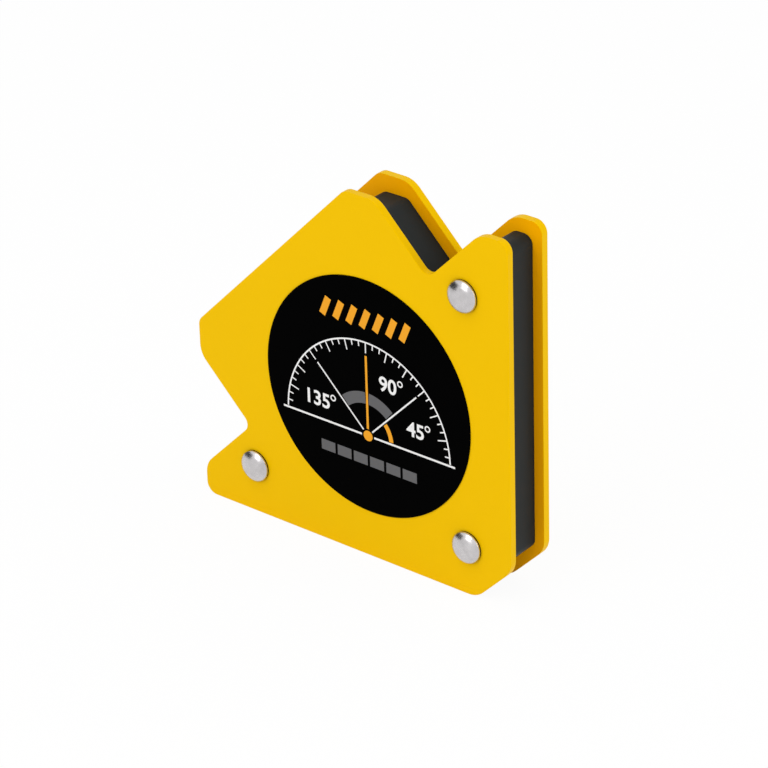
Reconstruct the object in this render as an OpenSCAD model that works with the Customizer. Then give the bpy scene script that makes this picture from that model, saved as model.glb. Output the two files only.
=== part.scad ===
// Arrow-shaped magnetic square that holds steel at 45, 90 and 135 degrees while it is welded.
// Two painted steel plates of one outline clamp a moulded frame with ferrite blocks in its pockets,
// and three rivets hold the stack. X runs to the right, Y from the front plate to the rear plate,
// and Z up. The part stands on one of its two leg edges.

/* [Outline] */
// Length of each leg edge, from the square corner's apex to the cut at its tip
leg_len = 76.2; // [64:0.1:100]
// Width of the arrow's head, between the two edges square to its long edge
head_w = 64; // [52:0.5:78]
// Length of the flat cut at each end of the head
head_flat = 7.2; // [5:0.1:10]
// Length of the flat cut at each leg's tip
tip_flat = 6.4; // [5.5:0.1:10]
// Length of leg edge taken away by the cut across the square corner
corner_cut = 8.3; // [6:0.1:14]

/* [Corner radii] */
// Radius at the square corner of each leg's tip
tip_r = 2.4; // [1:0.1:3]
// Radius where an edge meets a cut at 45 degrees
turn_r = 4.8; // [2:0.1:5.5]
// Radius where the long edge meets the cuts at its ends
long_edge_r = 2.5; // [1:0.1:4]
// Radius at the bottom of each notch
notch_r = 2; // [1:0.1:4]
// Radius of every corner of the frame between the plates
frame_r = 2; // [1:0.1:2.5]

/* [Stack] */
// Thickness of each steel plate
plate_t = 1.6; // [1:0.1:3]
// Thickness of the frame and the ferrite blocks between the plates
frame_t = 8.6; // [6:0.1:16]
// Distance the frame is set back from the plates' leg edges, notches and corner cut
frame_inset = 2.1; // [1:0.1:3]
// Distance it is set back from the two edges square to the long edge
side_inset = 2.5; // [1:0.1:4]
// Distance it is set back from the cuts at the legs' tips
tip_inset = 2.8; // [1:0.1:4]
// Distance it is set back from the long edge and from the cuts at its ends
head_inset = 3.4; // [1:0.1:4.5]

/* [Ferrite blocks] */
// Frame wall left outside the pockets
pocket_wall = 4.6; // [3:0.1:6]
// Frame rib left between two pockets
pocket_rib = 1.8; // [1.2:0.1:3]
// Frame left between the lowest pocket and the corner rivet's hole
pocket_to_rivet = 4.4; // [2:0.1:6]
// Gap between a block and each wall of its pocket
block_gap = 0.15; // [0.1:0.05:0.3]

/* [Rivets] */
// Distance of each rivet from its leg edges
rivet_edge = 10.3; // [8:0.1:14]
// Distance of the two outer rivets from the cut at their leg's tip
rivet_tip = 13.3; // [11:0.1:18]
// Diameter of a rivet's shank
shank_d = 3.8; // [3:0.1:5]
// Gap around the shank in its holes
shank_gap = 0.1; // [0.05:0.05:0.3]
// Diameter of a rivet's domed head
rivet_head_d = 6.6; // [5.5:0.1:8]
// Height of the upright rim below the dome
head_rim = 0.8; // [0.2:0.1:1.2]
// Height of the dome above its rim
dome_h = 1; // [0.6:0.1:2]
// Height of the rolled ring at the rivet's rear end
roll_h = 0.9; // [0.6:0.1:1.2]
// Diameter of the hollow in the rivet's rear end
hollow_d = 2.2; // [1.6:0.1:2.6]
// Depth of that hollow, from the rear plate's outer face
hollow_depth = 3; // [1:0.5:6]

/* [Label] */
// Thickness of the round label
label_t = 0.2; // [0.1:0.05:0.5]
// Distance from the label to the head's side edges
label_side_gap = 7.3; // [5:0.1:12]
// Distance from the label to the long edge
label_top_gap = 7.8; // [5:0.1:12]
// Least distance from the label to the corner rivet's head
label_rivet_gap = 5.5; // [1:0.1:8]
// Distance the label sits off the arrow's centre line
label_shift = 0.6; // [-2:0.1:2]

/* [Hidden] */
$fn = 96;
root2 = sqrt(2);

// Distances from the square corner's apex, measured along the arrow
head_half = head_w / 2;
long_edge = (2 * leg_len + head_flat) / root2 - head_half;
notch_edge = (leg_len + tip_flat) / root2;
corner_rivet = rivet_edge * root2;

// The stack's faces along Y: the rivets' two ends lie at equal distances from the origin
stack_t = frame_t + 2 * plate_t;
front_face = (head_rim + dome_h - roll_h - stack_t) / 2;
frame_face = front_face + plate_t;
rear_face = front_face + stack_t;

// Pockets: three rows of one width fill the frame from the corner rivet to the long edge
rows = 3;
shank_hole_r = shank_d / 2 + shank_gap;
pocket_top = long_edge - head_inset - pocket_wall;
pocket_bottom = corner_rivet + shank_hole_r + pocket_to_rivet;
pocket_w = (pocket_top - pocket_bottom - (rows - 1) * pocket_rib) / rows;

// The label fills the room that the head's sides, the long edge and the corner rivet leave it
label_r = min(head_half - label_side_gap,
              (long_edge - label_top_gap - corner_rivet - rivet_head_d / 2 - label_rivet_gap) / 2);

// Distances a and b from the two legs, as a point in X and Z
function from_legs(a, b) = [leg_len / 2 - a, b];

// A distance s along the arrow from the apex and a distance t to its side, as a point in X and Z
function along_arrow(s, t) = from_legs((s - t) / root2, (s + t) / root2);

// The outline's corners in order, anticlockwise, each with its radius
corners = [
    [from_legs(0, corner_cut), turn_r],
    [from_legs(0, leg_len), tip_r],
    [from_legs(tip_flat, leg_len), turn_r],
    [along_arrow(notch_edge, head_half), notch_r],
    [from_legs(leg_len - head_w / root2, leg_len), turn_r],
    [from_legs(leg_len - head_w / root2 + head_flat, leg_len), long_edge_r],
    [from_legs(leg_len, leg_len - head_w / root2 + head_flat), long_edge_r],
    [from_legs(leg_len, leg_len - head_w / root2), turn_r],
    [along_arrow(notch_edge, -head_half), notch_r],
    [from_legs(leg_len, tip_flat), turn_r],
    [from_legs(leg_len, 0), tip_r],
    [from_legs(corner_cut, 0), turn_r]
];

// How far the frame is set back from the edge that follows each of these corners
insets = [
    frame_inset, tip_inset, frame_inset, side_inset,
    head_inset, head_inset, head_inset,
    side_inset, frame_inset, tip_inset, frame_inset, frame_inset
];

rivet_places = [
    from_legs(rivet_edge, rivet_edge),
    from_legs(rivet_edge, leg_len - rivet_tip),
    from_legs(leg_len - rivet_tip, rivet_edge)
];

function unit(v) = v / norm(v);
function to_before(c, i) = unit(c[(i + len(c) - 1) % len(c)][0] - c[i][0]);
function to_after(c, i) = unit(c[(i + 1) % len(c)][0] - c[i][0]);
function half_angle(c, i) = acos(to_before(c, i) * to_after(c, i)) / 2;
function bisector(c, i) = unit(to_before(c, i) + to_after(c, i));
function is_notch(c, i) = cross(to_after(c, i), to_before(c, i)) < 0;

// The same corners moved inwards by each edge's own distance, all with the given radius
function moved_in(c, insets, r) = [
    for (i = [0 : len(c) - 1])
        let (inset_before = insets[(i + len(c) - 1) % len(c)], inset_after = insets[i])
        [c[i][0] + (to_before(c, i) * inset_after + to_after(c, i) * inset_before)
            * (is_notch(c, i) ? -1 : 1) / sin(2 * half_angle(c, i)), r]
];

function centre(c, i) = c[i][0] + bisector(c, i) * c[i][1] / sin(half_angle(c, i));
function tangent_point(c, i, side) = c[i][0] + side * c[i][1] / tan(half_angle(c, i));

// The part of a corner's circle between the two points where its arc meets the edges
module corner_sector(c, i) {
    intersection() {
        translate(centre(c, i)) circle(r = c[i][1]);
        polygon([
            c[i][0],
            tangent_point(c, i, to_before(c, i)),
            centre(c, i),
            tangent_point(c, i, to_after(c, i))
        ]);
    }
}

// A closed outline through the corners, with a true arc at each
module rounded_outline(c) {
    difference() {
        union() {
            polygon([
                for (i = [0 : len(c) - 1])
                    for (side = [to_before(c, i), to_after(c, i)])
                        tangent_point(c, i, side)
            ]);
            for (i = [0 : len(c) - 1])
                if (!is_notch(c, i))
                    corner_sector(c, i);
        }
        for (i = [0 : len(c) - 1])
            if (is_notch(c, i))
                corner_sector(c, i);
    }
}

// Stands a shape drawn in X and Z up, from depth y towards the rear
module upright(y, t) {
    translate([0, y + t, 0]) rotate([90, 0, 0]) linear_extrude(height = t) children();
}

module rivet_holes() {
    for (place = rivet_places)
        translate(place) circle(r = shank_hole_r);
}

module plate(y) {
    upright(y, plate_t) difference() {
        rounded_outline(corners);
        rivet_holes();
    }
}

// Row 0 lies next to the long edge. A row ends where the head's sides or the legs' walls begin.
function row_top(row) = pocket_top - row * (pocket_w + pocket_rib);
function row_half_len(row) = min(
    head_half - side_inset - pocket_wall,
    row_top(row) - pocket_w - root2 * (frame_inset + pocket_wall)
);

// A row's pocket, or with a gap the block that lies in it
module row_block(row, gap) {
    half_len = row_half_len(row) - gap;
    low = row_top(row) - pocket_w + gap;
    high = row_top(row) - gap;
    polygon([
        along_arrow(low, -half_len),
        along_arrow(low, half_len),
        along_arrow(high, half_len),
        along_arrow(high, -half_len)
    ]);
}

module magnet(row) {
    color("dimgray") upright(frame_face, frame_t) row_block(row, block_gap);
}

// Half of a rivet's section: radius along X, and height along Y from the stack's front face
module rivet_section() {
    head_r = rivet_head_d / 2;
    dome_r = (head_r * head_r + dome_h * dome_h) / (2 * dome_h);
    shank_r = shank_d / 2;
    translate([0, -head_rim]) square([head_r, head_rim]);
    intersection() {
        translate([0, dome_r - dome_h - head_rim]) circle(r = dome_r);
        translate([0, -head_rim - dome_h]) square([head_r, dome_h]);
    }
    difference() {
        union() {
            square([shank_r, stack_t]);
            intersection() {
                translate([shank_r, stack_t]) circle(r = roll_h);
                translate([0, stack_t]) square([shank_r + roll_h, roll_h]);
            }
        }
        translate([0, stack_t - hollow_depth]) square([hollow_d / 2, hollow_depth + roll_h]);
    }
}

module front_plate() {
    color([0.93, 0.75, 0]) plate(front_face);
}

module rear_plate() {
    color([0.93, 0.75, 0]) plate(frame_face + frame_t);
}

module core_frame() {
    color([0.2, 0.21, 0.21]) upright(frame_face, frame_t) difference() {
        rounded_outline(moved_in(corners, insets, frame_r));
        rivet_holes();
        for (row = [0 : rows - 1])
            row_block(row, 0);
    }
}

module upper_magnet() {
    magnet(0);
}

module middle_magnet() {
    magnet(1);
}

module lower_magnet() {
    magnet(2);
}

module rivets() {
    color("silver")
        for (place = rivet_places)
            translate([place[0], front_face, place[1]]) rotate([-90, 0, 0])
                rotate_extrude() rivet_section();
}

module label() {
    centre = along_arrow(long_edge - label_top_gap - label_r, label_shift);
    color([0.05, 0.05, 0.05])
        upright(front_face - label_t, label_t) translate(centre) circle(r = label_r);
}

front_plate();
rear_plate();
core_frame();
upper_magnet();
middle_magnet();
lower_magnet();
rivets();
label();
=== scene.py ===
import math

import bmesh
import bpy
from mathutils import Matrix, Vector


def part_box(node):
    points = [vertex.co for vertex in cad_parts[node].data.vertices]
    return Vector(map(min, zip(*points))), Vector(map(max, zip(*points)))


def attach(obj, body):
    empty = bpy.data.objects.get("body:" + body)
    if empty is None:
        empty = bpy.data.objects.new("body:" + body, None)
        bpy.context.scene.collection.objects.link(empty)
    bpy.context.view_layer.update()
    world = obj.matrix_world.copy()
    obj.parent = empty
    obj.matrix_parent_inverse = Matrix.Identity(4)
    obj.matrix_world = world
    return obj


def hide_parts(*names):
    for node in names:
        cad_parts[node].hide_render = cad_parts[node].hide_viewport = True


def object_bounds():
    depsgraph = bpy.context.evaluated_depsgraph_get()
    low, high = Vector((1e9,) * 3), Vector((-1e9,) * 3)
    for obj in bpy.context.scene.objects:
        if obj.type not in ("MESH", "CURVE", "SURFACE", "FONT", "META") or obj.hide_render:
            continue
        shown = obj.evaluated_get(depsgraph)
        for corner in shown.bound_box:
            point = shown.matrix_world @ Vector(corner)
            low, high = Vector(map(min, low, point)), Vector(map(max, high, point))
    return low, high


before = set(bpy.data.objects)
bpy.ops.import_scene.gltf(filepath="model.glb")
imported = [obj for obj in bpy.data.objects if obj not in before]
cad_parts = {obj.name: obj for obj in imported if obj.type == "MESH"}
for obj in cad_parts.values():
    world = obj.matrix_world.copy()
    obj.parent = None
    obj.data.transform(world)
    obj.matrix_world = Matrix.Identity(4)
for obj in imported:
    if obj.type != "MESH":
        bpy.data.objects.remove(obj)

mm = 0.001
cadLow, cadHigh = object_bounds()
middle = (cadLow + cadHigh) / 2


# materials

def newTree(tree, kinds):
    # adds one node per entry of kinds and returns them by name
    nodes = {}
    for name, kind in kinds.items():
        nodes[name] = tree.nodes.new(kind)
    return nodes


def newGroup(name, inputs, outputs):
    group = bpy.data.node_groups.new(name, "ShaderNodeTree")
    for label, kind, value in inputs:
        socket = group.interface.new_socket(name=label, in_out="INPUT", socket_type=kind)
        socket.default_value = value
    for label, kind in outputs:
        group.interface.new_socket(name=label, in_out="OUTPUT", socket_type=kind)
    return group


def grainGroup():
    # fine bumps in two sizes, for orange peel, moulded grain and rolled metal
    group = newGroup(
        "surfaceGrain",
        [("Size", "NodeSocketFloat", 1000.0), ("Fine Share", "NodeSocketFloat", 0.3)],
        [("Height", "NodeSocketFloat")],
    )
    n = newTree(group, {
        "start": "NodeGroupInput",
        "place": "ShaderNodeTexCoord",
        "coarse": "ShaderNodeTexNoise",
        "finer": "ShaderNodeMath",
        "fine": "ShaderNodeTexNoise",
        "mix": "ShaderNodeMix",
        "end": "NodeGroupOutput",
    })
    n["coarse"].inputs["Detail"].default_value = 2
    n["fine"].inputs["Detail"].default_value = 4
    n["finer"].operation = "MULTIPLY"
    n["finer"].inputs[1].default_value = 3.7
    link = group.links.new
    link(n["place"].outputs["Object"], n["coarse"].inputs["Vector"])
    link(n["place"].outputs["Object"], n["fine"].inputs["Vector"])
    link(n["start"].outputs["Size"], n["coarse"].inputs["Scale"])
    link(n["start"].outputs["Size"], n["finer"].inputs[0])
    link(n["finer"].outputs[0], n["fine"].inputs["Scale"])
    link(n["start"].outputs["Fine Share"], n["mix"].inputs["Factor"])
    link(n["coarse"].outputs["Fac"], n["mix"].inputs["A"])
    link(n["fine"].outputs["Fac"], n["mix"].inputs["B"])
    link(n["mix"].outputs["Result"], n["end"].inputs["Height"])
    return group


def toneGroup():
    # slow patches that lift and drop a colour and its roughness a little
    group = newGroup(
        "surfaceTone",
        [
            ("Color", "NodeSocketColor", (0.5, 0.5, 0.5, 1)),
            ("Color Change", "NodeSocketFloat", 0.03),
            ("Roughness", "NodeSocketFloat", 0.4),
            ("Roughness Change", "NodeSocketFloat", 0.05),
            ("Patch Size", "NodeSocketFloat", 60.0),
        ],
        [("Color", "NodeSocketColor"), ("Roughness", "NodeSocketFloat")],
    )
    n = newTree(group, {
        "start": "NodeGroupInput",
        "place": "ShaderNodeTexCoord",
        "patches": "ShaderNodeTexNoise",
        "centred": "ShaderNodeMath",
        "colorSwing": "ShaderNodeMath",
        "gain": "ShaderNodeMath",
        "tint": "ShaderNodeVectorMath",
        "roughSwing": "ShaderNodeMath",
        "rough": "ShaderNodeMath",
        "end": "NodeGroupOutput",
    })
    n["patches"].inputs["Detail"].default_value = 5
    n["centred"].operation = "SUBTRACT"
    n["centred"].inputs[1].default_value = 0.5
    n["colorSwing"].operation = "MULTIPLY"
    n["gain"].operation = "ADD"
    n["gain"].inputs[1].default_value = 1
    n["tint"].operation = "SCALE"
    n["roughSwing"].operation = "MULTIPLY"
    n["rough"].operation = "ADD"
    link = group.links.new
    link(n["place"].outputs["Object"], n["patches"].inputs["Vector"])
    link(n["start"].outputs["Patch Size"], n["patches"].inputs["Scale"])
    link(n["patches"].outputs["Fac"], n["centred"].inputs[0])
    link(n["centred"].outputs[0], n["colorSwing"].inputs[0])
    link(n["start"].outputs["Color Change"], n["colorSwing"].inputs[1])
    link(n["colorSwing"].outputs[0], n["gain"].inputs[0])
    link(n["start"].outputs["Color"], n["tint"].inputs[0])
    link(n["gain"].outputs[0], n["tint"].inputs["Scale"])
    link(n["tint"].outputs["Vector"], n["end"].inputs["Color"])
    link(n["centred"].outputs[0], n["roughSwing"].inputs[0])
    link(n["start"].outputs["Roughness Change"], n["roughSwing"].inputs[1])
    link(n["roughSwing"].outputs[0], n["rough"].inputs[0])
    link(n["start"].outputs["Roughness"], n["rough"].inputs[1])
    link(n["rough"].outputs[0], n["end"].inputs["Roughness"])
    return group


grain = grainGroup()
tone = toneGroup()


def newMaterial(name, look):
    # look holds the finish's values; fixed ones go straight onto the shader's sockets
    material = bpy.data.materials.new(name)
    material.use_nodes = True
    tree = material.node_tree
    shader = tree.nodes["Principled BSDF"]
    n = newTree(tree, {
        "tone": "ShaderNodeGroup", "grain": "ShaderNodeGroup", "bump": "ShaderNodeBump",
    })
    n["tone"].node_tree = tone
    n["tone"].inputs["Color"].default_value = (*look["color"], 1)
    n["tone"].inputs["Color Change"].default_value = look["colorChange"]
    n["tone"].inputs["Roughness"].default_value = look["roughness"]
    n["tone"].inputs["Roughness Change"].default_value = look["roughnessChange"]
    n["tone"].inputs["Patch Size"].default_value = look["patchSize"]
    n["grain"].node_tree = grain
    n["grain"].inputs["Size"].default_value = look["grainSize"]
    n["grain"].inputs["Fine Share"].default_value = look["fineShare"]
    n["bump"].inputs["Strength"].default_value = look["bump"]
    n["bump"].inputs["Distance"].default_value = look["bumpDepth"]
    shader.inputs["Metallic"].default_value = look.get("metallic", 0)
    shader.inputs["Specular IOR Level"].default_value = look.get("specular", 0.5)
    shader.inputs["Specular Tint"].default_value = (*look.get("glossTint", (1, 1, 1)), 1)
    link = tree.links.new
    link(n["tone"].outputs["Color"], shader.inputs["Base Color"])
    link(n["tone"].outputs["Roughness"], shader.inputs["Roughness"])
    link(n["grain"].outputs["Height"], n["bump"].inputs["Height"])
    link(n["bump"].outputs["Normal"], shader.inputs["Normal"])
    return material


enamel = {
    "color": (0.86, 0.515, 0.0), "colorChange": 0.03,
    "roughness": 0.33, "roughnessChange": 0.12, "patchSize": 90,
    "grainSize": 900, "fineShare": 0.25, "bump": 0.12, "bumpDepth": 0.03 * mm,
    "specular": 0.06, "glossTint": (1, 0.72, 0.02),
}
paint = newMaterial("yellowEnamel", enamel)
# a more orange copy of the same enamel, for the faces between the plates: painted bounce light
# and shade, not a different coat
bounceTintedEnamel = newMaterial("yellowEnamelPaintedBounce", {
    **enamel, "color": (1.0, 0.46, 0.0), "roughness": 0.4,
})
plastic = newMaterial("darkMouldedPlastic", {
    "color": (0.013, 0.017, 0.018), "colorChange": 0.25,
    "roughness": 0.5, "roughnessChange": 0.2, "patchSize": 140,
    "grainSize": 2600, "fineShare": 0.5, "bump": 0.35, "bumpDepth": 0.02 * mm,
    "specular": 0.15,
})
ferrite = newMaterial("groundFerrite", {
    "color": (0.05, 0.05, 0.054), "colorChange": 0.5,
    "roughness": 0.6, "roughnessChange": 0.3, "patchSize": 300,
    "grainSize": 1800, "fineShare": 0.6, "bump": 0.5, "bumpDepth": 0.03 * mm,
    "specular": 0.4,
})
nickel = newMaterial("nickelPlate", {
    "color": (0.58, 0.56, 0.565), "colorChange": 0.5,
    "roughness": 0.25, "roughnessChange": 0.2, "patchSize": 700,
    "grainSize": 1500, "fineShare": 0.4, "bump": 0.16, "bumpDepth": 0.03 * mm,
    "metallic": 1,
})
# dark paint for the rivet heads' foot edge: painted shade under the rim, where the head meets
# the plate
paintedFootShade = newMaterial("darkPaintedFootShade", {
    "color": (0.02, 0.013, 0.01), "colorChange": 0.5,
    "roughness": 0.6, "roughnessChange": 0.2, "patchSize": 900,
    "grainSize": 2500, "fineShare": 0.5, "bump": 0.3, "bumpDepth": 0.02 * mm,
    "specular": 0.1,
})
labelFilm = newMaterial("blackLabelFilm", {
    "color": (0.0005, 0.0005, 0.0005), "colorChange": 0.2,
    "roughness": 0.3, "roughnessChange": 0.1, "patchSize": 120,
    "grainSize": 1400, "fineShare": 0.5, "bump": 0.05, "bumpDepth": 0.01 * mm,
    "specular": 0.005,
})


def inkMaterial(name, color):
    return newMaterial(name, {
        "color": color, "colorChange": 0.04,
        "roughness": 0.35, "roughnessChange": 0.1, "patchSize": 400,
        "grainSize": 3000, "fineShare": 0.5, "bump": 0.05, "bumpDepth": 0.01 * mm,
        "specular": 0.06,
    })


whiteInk = inkMaterial("whiteInk", (0.82, 0.82, 0.82))
amberInk = inkMaterial("amberInk", (0.85, 0.36, 0.02))
greyInk = inkMaterial("greyInk", (0.12, 0.12, 0.125))
print("materials made")


# pieces

def placePiece(name, bm, materials, slot, *nodes, smoothAngle=30):
    mesh = bpy.data.meshes.new(name)
    bm.to_mesh(mesh)
    bm.free()
    for material in materials:
        mesh.materials.append(material)
    mesh.shade_smooth()
    mesh.set_sharp_from_angle(angle=math.radians(smoothAngle))
    piece = bpy.data.objects.new(name, mesh)
    bpy.context.scene.collection.objects.link(piece)
    weighted = piece.modifiers.new("flatFaces", "WEIGHTED_NORMAL")
    weighted.keep_sharp = True
    weighted.weight = 100
    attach(piece, "root")
    if nodes:
        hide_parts(*nodes)
    return piece


def roundedCopy(node, size):
    # the CAD node's own shape, with its sharp edges rounded
    bm = bmesh.new()
    bm.from_mesh(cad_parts[node].data)
    bmesh.ops.remove_doubles(bm, verts=bm.verts, dist=size["weld"])
    bmesh.ops.dissolve_limit(bm, angle_limit=math.radians(1), verts=bm.verts, edges=bm.edges)
    sharp = math.radians(50)
    rims = [e for e in bm.edges if len(e.link_faces) == 2 and e.calc_face_angle() > sharp]
    bmesh.ops.bevel(
        bm, geom=rims, offset=size["round"], segments=size["steps"],
        affect="EDGES", profile=0.5, material=-1, clamp_overlap=True,
    )
    return bm


def paintBounceInside(bm, side):
    # the faces that lie towards the frame take the second material, a more orange enamel that
    # paints in the warm bounce light and shade between the plates
    for face in bm.faces:
        if face.normal.y * side > 0.999:
            face.material_index = 1


plate = {"round": 0.5 * mm, "steps": 4, "weld": 0.03 * mm}
for node, name, side in (("front_plate", "frontPlate", 1), ("rear_plate", "rearPlate", -1)):
    bm = roundedCopy(node, plate)
    paintBounceInside(bm, side)
    placePiece(name, bm, [paint, bounceTintedEnamel], "yellow_paint", node)
print("plates made")

core = {"round": 0.25 * mm, "steps": 3, "weld": 0.03 * mm}
placePiece("coreFrame", roundedCopy("core_frame", core), [plastic], "dark_plastic", "core_frame")
print("frame made")

block = {"round": 0.3 * mm, "steps": 1, "weld": 0.01 * mm}
for node, name in (
    ("upper_magnet", "upperMagnet"), ("middle_magnet", "middleMagnet"),
    ("lower_magnet", "lowerMagnet"),
):
    placePiece(name, roundedCopy(node, block), [ferrite], "ferrite", node)
print("ferrite blocks made")


# rivets: half a section, spun once for each

rivet = {
    "headRadius": 3.3 * mm,
    "headHeight": 1.8 * mm,
    "footHeight": 0.34 * mm,  # the straight edge below the crown, coloured dark as painted shade
    "footInset": 0.3 * mm,
    "footTaper": 0.05 * mm,
    "footGap": 0.03 * mm,     # where the edge turns in, just clear of the plate
    "flatRadius": 0.9 * mm,   # the worn flat in the middle of the crown
    "flatDepth": 0.03 * mm,
    "shankRadius": 1.9 * mm,
    "rollRadius": 0.9 * mm,
    "rollTurn": 162,          # degrees that the rolled rear end curls round
    "lipShare": 0.3,          # height of the hollow's lip, as a share of the roll
    "hollowRadius": 1.1 * mm,
    "hollowDepth": 3 * mm,
    "arcSteps": 24,
    "spinSteps": 96,
}


def rivetSection(size):
    # pairs of radius and depth, from the crown's middle over the shank to the hollow's floor
    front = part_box("front_plate")[0].y
    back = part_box("rear_plate")[1].y
    radius = size["headRadius"]
    top = front - size["headHeight"]
    crown = size["headHeight"] - size["footHeight"]
    section = []
    for i in range(size["arcSteps"] + 1):
        angle = math.pi / 2 * i / size["arcSteps"]
        out = radius * math.sin(angle)
        worn = size["flatDepth"] * max(0, 1 - (out / size["flatRadius"]) ** 2)
        section.append((out, top + crown * (1 - math.cos(angle)) + worn))
    section.append((radius - size["footTaper"], front - size["footGap"]))
    section.append((radius - size["footInset"], front))
    section.append((size["shankRadius"], front))
    section.append((size["shankRadius"] + size["rollRadius"], back))
    for i in range(1, size["arcSteps"]):
        angle = math.radians(size["rollTurn"]) * i / size["arcSteps"]
        section.append((
            size["shankRadius"] + size["rollRadius"] * math.cos(angle),
            back + size["rollRadius"] * math.sin(angle),
        ))
    section.append((size["hollowRadius"], back + size["rollRadius"] * size["lipShare"]))
    section.append((size["hollowRadius"], back - size["hollowDepth"]))
    section.append((0, back - size["hollowDepth"]))
    return section


def spunRivet(bm, size, x, z):
    verts = [bm.verts.new((x + r, y, z)) for r, y in rivetSection(size)]
    edges = [bm.edges.new(pair) for pair in zip(verts, verts[1:])]
    bmesh.ops.spin(
        bm, geom=verts + edges, cent=(x, 0, z), axis=(0, 1, 0),
        angle=2 * math.pi, steps=size["spinSteps"], use_merge=True,
    )


low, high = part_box("rivets")
inset = rivet["headRadius"]
bm = bmesh.new()
for x, z in (
    (high.x - inset, low.z + inset),
    (high.x - inset, high.z - inset),
    (low.x + inset, low.z + inset),
):
    spunRivet(bm, rivet, x, z)
bmesh.ops.remove_doubles(bm, verts=bm.verts, dist=0.002 * mm)
bmesh.ops.recalc_face_normals(bm, faces=bm.faces)
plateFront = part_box("front_plate")[0].y
# the faces of the foot edge take the second material, the painted shade under the head
for face in bm.faces:
    if plateFront - rivet["footHeight"] < face.calc_center_median().y < plateFront:
        face.material_index = 1
placePiece("rivets", bm, [nickel, paintedFootShade], "nickel_plate", "rivets", smoothAngle=40)
print("rivets made")


# the label: a black disc with a plain protractor printed on it

label = {
    "edgeRound": 0.06 * mm,
    "steps": 192,
    "ink": 0.02 * mm,
    "pivotDrop": 8.2,         # in millimetres from the disc's middle, as are the places below
    "dialRadius": 20,
    "line": 0.32,
    "longTick": 2.4,
    "shortTick": 1.3,
    "hub": 1.1,
    "hubGap": 0.4,
    "armEnd": 3,              # from the dial's rim to the ends of the three arms
    "numberHeight": 4.3,
}
labelLow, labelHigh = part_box("label")
labelMiddle = (labelLow + labelHigh) / 2
labelRadius = (labelHigh.x - labelLow.x) / 2


def faceFront(bm, u=0, v=0):
    # turns a flat shape drawn in millimetres to face the front, at u, v from the label's middle
    bmesh.ops.translate(bm, verts=bm.verts, vec=(u, v, 0))
    bmesh.ops.scale(bm, verts=bm.verts, vec=(mm, mm, mm))
    bmesh.ops.rotate(bm, verts=bm.verts, matrix=Matrix.Rotation(math.pi / 2, 3, "X"))
    bmesh.ops.translate(bm, verts=bm.verts, vec=(labelMiddle.x, labelLow.y, labelMiddle.z))


def makeDisc():
    bm = bmesh.new()
    bmesh.ops.create_circle(bm, cap_ends=True, radius=labelRadius, segments=label["steps"])
    bmesh.ops.rotate(bm, verts=bm.verts, matrix=Matrix.Rotation(math.pi / 2, 3, "X"))
    bmesh.ops.translate(bm, verts=bm.verts, vec=(labelMiddle.x, labelHigh.y, labelMiddle.z))
    grown = bmesh.ops.extrude_face_region(bm, geom=bm.faces[:])
    front = [g for g in grown["geom"] if isinstance(g, bmesh.types.BMVert)]
    bmesh.ops.translate(bm, verts=front, vec=(0, labelLow.y - labelHigh.y, 0))
    bmesh.ops.recalc_face_normals(bm, faces=bm.faces)
    rim = [e for e in bm.edges if all(abs(v.co.y - labelLow.y) < 0.001 * mm for v in e.verts)]
    bmesh.ops.bevel(
        bm, geom=rim, offset=label["edgeRound"], segments=3,
        affect="EDGES", profile=0.5, material=-1,
    )
    return bm


def addBand(bm, inner, outer, start, end, u=0, v=0):
    # a flat band round u, v, with its angles in degrees
    turn = Matrix.Rotation(math.radians(start), 3, "Z")
    middlePoint = Vector((u, v, 0))
    ends = [bm.verts.new(middlePoint + turn @ Vector((r, 0, 0))) for r in (inner, outer)]
    edge = bm.edges.new(ends)
    bmesh.ops.spin(
        bm, geom=ends + [edge], cent=middlePoint, axis=(0, 0, 1),
        angle=math.radians(end - start), steps=max(2, round((end - start) / 3)),
        use_merge=end - start >= 360,
    )


def addBar(bm, a, b, width):
    # a straight bar from a to b
    along = Vector((b[0] - a[0], b[1] - a[1], 0))
    side = Vector((-along.y, along.x, 0)).normalized() * width / 2
    start, end = Vector((*a, 0)), Vector((*b, 0))
    corners = (start - side, end - side, end + side, start + side)
    bm.faces.new([bm.verts.new(c) for c in corners])


def addNumber(bm, text, height, u, v):
    # draws a number and gives back where it ends on the right
    curve = bpy.data.curves.new("number", "FONT")
    curve.body = text
    curve.size = height
    curve.offset = height * 0.02
    curve.align_x = "CENTER"
    curve.align_y = "CENTER"
    writing = bpy.data.objects.new("number", curve)
    bpy.context.scene.collection.objects.link(writing)
    finished = writing.evaluated_get(bpy.context.evaluated_depsgraph_get())
    mesh = bpy.data.meshes.new_from_object(finished)
    mesh.transform(Matrix.Translation((u, v, 0)))
    end = max(vertex.co.x for vertex in mesh.vertices)
    bm.from_mesh(mesh)
    bpy.data.objects.remove(writing)
    bpy.data.curves.remove(curve)
    bpy.data.meshes.remove(mesh)
    return end


def onDial(degrees, radius):
    angle = math.radians(degrees)
    return radius * math.cos(angle), radius * math.sin(angle) - label["pivotDrop"]


# nothing printed lies over anything else printed, so each line stops short of its neighbours

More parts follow.
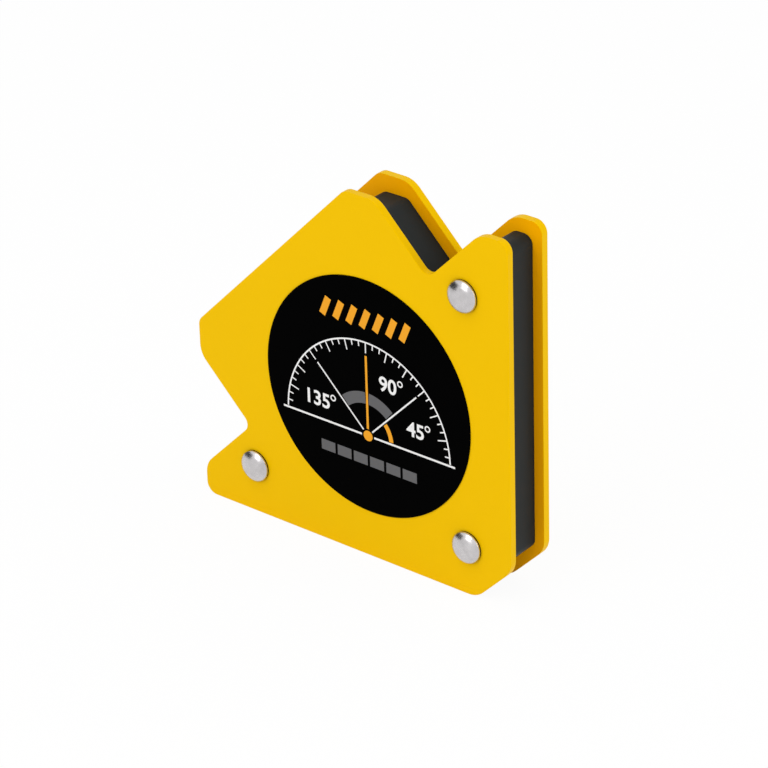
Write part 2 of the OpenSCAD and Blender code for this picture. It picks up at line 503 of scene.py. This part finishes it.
def drawWhite(bm):
    drop, radius, line = label["pivotDrop"], label["dialRadius"], label["line"]
    armStart, armEnd = label["hub"] + label["hubGap"], radius - label["armEnd"]
    addBand(bm, radius - line, radius, 1, 179, v=-drop)
    for degrees in range(5, 176, 5):
        length = label["longTick"] if degrees % 15 == 0 else label["shortTick"]
        addBar(bm, onDial(degrees, radius - length), onDial(degrees, radius - line), line * 0.8)
    for side in (-1, 1):
        addBar(bm, (side * armStart, -drop), (side * (radius + 1), -drop), line * 1.3)
    for degrees in (45, 135):
        addBar(bm, onDial(degrees, armStart), onDial(degrees, armEnd), line)
    for text, degrees, reach in (("45", 22, 12.6), ("90", 67, 13.2), ("135", 162, 13)):
        u, v = onDial(degrees, reach)
        end = addNumber(bm, text, label["numberHeight"], u, v)
        addBand(bm, 0.4, 0.68, 0, 360, u=end + 0.9, v=v + 1.4)


def drawAmber(bm):
    drop, hub = label["pivotDrop"], label["hub"]
    armStart, armEnd = hub + label["hubGap"], label["dialRadius"] - label["armEnd"]
    addBand(bm, 5.2, 6.2, 4, 41, v=-drop)
    addBar(bm, onDial(90, armStart), onDial(90, armEnd), label["line"] * 1.6)
    addBand(bm, 0, hub, 0, 360, v=-drop)
    for i in range(7):
        u = (i - 3) * 3.2
        addBar(bm, (u - 0.8, 14.6), (u + 0.8, 18.4), 1.5)


def drawGrey(bm):
    for start in (48, 93):
        addBand(bm, 6.8, 9.2, start, start + 39, v=-label["pivotDrop"])
    for i in range(6):
        addBar(bm, ((i - 3) * 4 + 0.3, -13.6), ((i - 3) * 4 + 3.7, -13.6), 2.2)


placePiece("labelDisc", makeDisc(), [labelFilm], "label_film", "label")
for name, draw, ink in (
    ("labelWhitePrint", drawWhite, whiteInk), ("labelAmberPrint", drawAmber, amberInk),
    ("labelGreyPrint", drawGrey, greyInk),
):
    bm = bmesh.new()
    draw(bm)
    bmesh.ops.remove_doubles(bm, verts=bm.verts, dist=0.001)
    faceFront(bm)
    bmesh.ops.recalc_face_normals(bm, faces=bm.faces)
    grown = bmesh.ops.extrude_face_region(bm, geom=bm.faces[:])
    front = [g for g in grown["geom"] if isinstance(g, bmesh.types.BMVert)]
    bmesh.ops.translate(bm, verts=front, vec=(0, -label["ink"], 0))
    bmesh.ops.recalc_face_normals(bm, faces=bm.faces)
    placePiece(name, bm, [ink], "label_film")
print("label made")


# floor, backdrop and light

stage = {"floorSize": 12, "floorGap": 0.02 * mm, "floorWhite": 0.945, "worldLight": 0.68}


def whiteForCamera(tree, shaderSocket, whiteKind, share):
    # camera, mirror and glass rays see plain white, mixed in by share
    n = newTree(tree, {
        "path": "ShaderNodeLightPath", "either": "ShaderNodeMath", "any": "ShaderNodeMath",
        "share": "ShaderNodeMath", "mix": "ShaderNodeMixShader",
    })
    white = tree.nodes.new(whiteKind)
    white.inputs["Color"].default_value = (1, 1, 1, 1)
    white.inputs["Strength"].default_value = 1
    for step in ("either", "any"):
        n[step].operation = "MAXIMUM"
    n["share"].operation = "MULTIPLY"
    n["share"].inputs[1].default_value = share
    link = tree.links.new
    link(n["path"].outputs["Is Camera Ray"], n["either"].inputs[0])
    link(n["path"].outputs["Is Glossy Ray"], n["either"].inputs[1])
    link(n["either"].outputs[0], n["any"].inputs[0])
    link(n["path"].outputs["Is Transmission Ray"], n["any"].inputs[1])
    link(n["any"].outputs[0], n["share"].inputs[0])
    link(n["share"].outputs[0], n["mix"].inputs["Fac"])
    link(shaderSocket, n["mix"].inputs[1])
    link(white.outputs[0], n["mix"].inputs[2])
    return n["mix"].outputs[0]


def makeFloor():
    bm = bmesh.new()
    bmesh.ops.create_grid(bm, x_segments=1, y_segments=1, size=stage["floorSize"] / 2)
    bmesh.ops.translate(bm, verts=bm.verts, vec=(0, 0, cadLow.z - stage["floorGap"]))
    mesh = bpy.data.meshes.new("floor")
    bm.to_mesh(mesh)
    bm.free()
    material = bpy.data.materials.new("paleFloor")
    material.use_nodes = True
    tree = material.node_tree
    shader = tree.nodes["Principled BSDF"]
    shader.inputs["Base Color"].default_value = (0.95, 0.95, 0.95, 1)
    shader.inputs["Roughness"].default_value = 0.9
    shader.inputs["Specular IOR Level"].default_value = 0
    output = tree.nodes["Material Output"]
    mixed = whiteForCamera(tree, shader.outputs[0], "ShaderNodeEmission", stage["floorWhite"])
    tree.links.new(mixed, output.inputs["Surface"])
    mesh.materials.append(material)
    floor = bpy.data.objects.new("floor", mesh)
    bpy.context.scene.collection.objects.link(floor)


def makeWorld():
    world = bpy.data.worlds.new("studio")
    world.use_nodes = True
    bpy.context.scene.world = world
    tree = world.node_tree
    plain = tree.nodes["Background"]
    plain.inputs["Color"].default_value = (1, 1, 1, 1)
    plain.inputs["Strength"].default_value = stage["worldLight"]
    mixed = whiteForCamera(tree, plain.outputs[0], "ShaderNodeBackground", 1)
    tree.links.new(mixed, tree.nodes["World Output"].inputs["Surface"])


def direction(azimuth, elevation):
    # from the object towards a place, azimuth 0 in front and 90 to the right
    a, e = math.radians(azimuth), math.radians(elevation)
    return Vector((math.sin(a) * math.cos(e), -math.cos(a) * math.cos(e), math.sin(e)))


def addLamp(name, azimuth, elevation, distance, width, power):
    data = bpy.data.lights.new(name, "AREA")
    data.size = width
    data.energy = power
    lamp = bpy.data.objects.new(name, data)
    bpy.context.scene.collection.objects.link(lamp)
    away = direction(azimuth, elevation)
    lamp.location = middle + away * distance
    lamp.rotation_mode = "QUATERNION"
    lamp.rotation_quaternion = away.to_track_quat("Z", "Y")


def addFlag(azimuth, elevation, distance, width, height):
    # a black card that only glossy surfaces show
    bm = bmesh.new()
    bmesh.ops.create_grid(bm, x_segments=1, y_segments=1, size=0.5)
    away = direction(azimuth, elevation)
    bmesh.ops.scale(bm, verts=bm.verts, vec=(width, height, 1))
    bmesh.ops.rotate(bm, verts=bm.verts, matrix=away.to_track_quat("Z", "Y").to_matrix())
    bmesh.ops.translate(bm, verts=bm.verts, vec=middle + away * distance)
    mesh = bpy.data.meshes.new("flag")
    bm.to_mesh(mesh)
    bm.free()
    material = bpy.data.materials.new("blackCard")
    material.use_nodes = True
    shader = material.node_tree.nodes["Principled BSDF"]
    shader.inputs["Base Color"].default_value = (0.03, 0.03, 0.03, 1)
    shader.inputs["Roughness"].default_value = 0.9
    mesh.materials.append(material)
    flag = bpy.data.objects.new("flag", mesh)
    bpy.context.scene.collection.objects.link(flag)
    flag.visible_camera = False
    flag.visible_diffuse = False
    flag.visible_shadow = False
    flag.visible_transmission = False


makeFloor()
makeWorld()
addLamp("keyLight", -4, 28, 0.9, 0.4, 1.0)
addLamp("topLight", 0, 60, 1.0, 0.6, 2.5)
addLamp("sideLight", 102, 22, 0.9, 0.4, 1.6)
addFlag(-68, 10, 0.5, 0.6, 0.34)
print("stage made")


# camera

view = {
    "azimuth": 40.18, "elevation": 27.81, "roll": -1.64,
    "distance": 730.3 * mm, "lens": 180.92,
    "aim": (3.43 * mm, 0.5 * mm, -3.49 * mm),   # from the middle of the CAD box
}


def makeCamera():
    data = bpy.data.cameras.new("camera")
    data.lens = view["lens"]
    data.sensor_width = 36
    data.clip_start = 0.01
    data.clip_end = 50
    camera = bpy.data.objects.new("camera", data)
    bpy.context.scene.collection.objects.link(camera)
    away = direction(view["azimuth"], view["elevation"])
    camera.location = middle + Vector(view["aim"]) + away * view["distance"]
    camera.rotation_mode = "QUATERNION"
    level = away.to_track_quat("Z", "Y")
    roll = Matrix.Rotation(math.radians(view["roll"]), 3, "Z").to_quaternion()
    camera.rotation_quaternion = level @ roll
    bpy.context.scene.camera = camera


makeCamera()
bpy.context.scene.view_settings.view_transform = "Standard"
print("camera made")
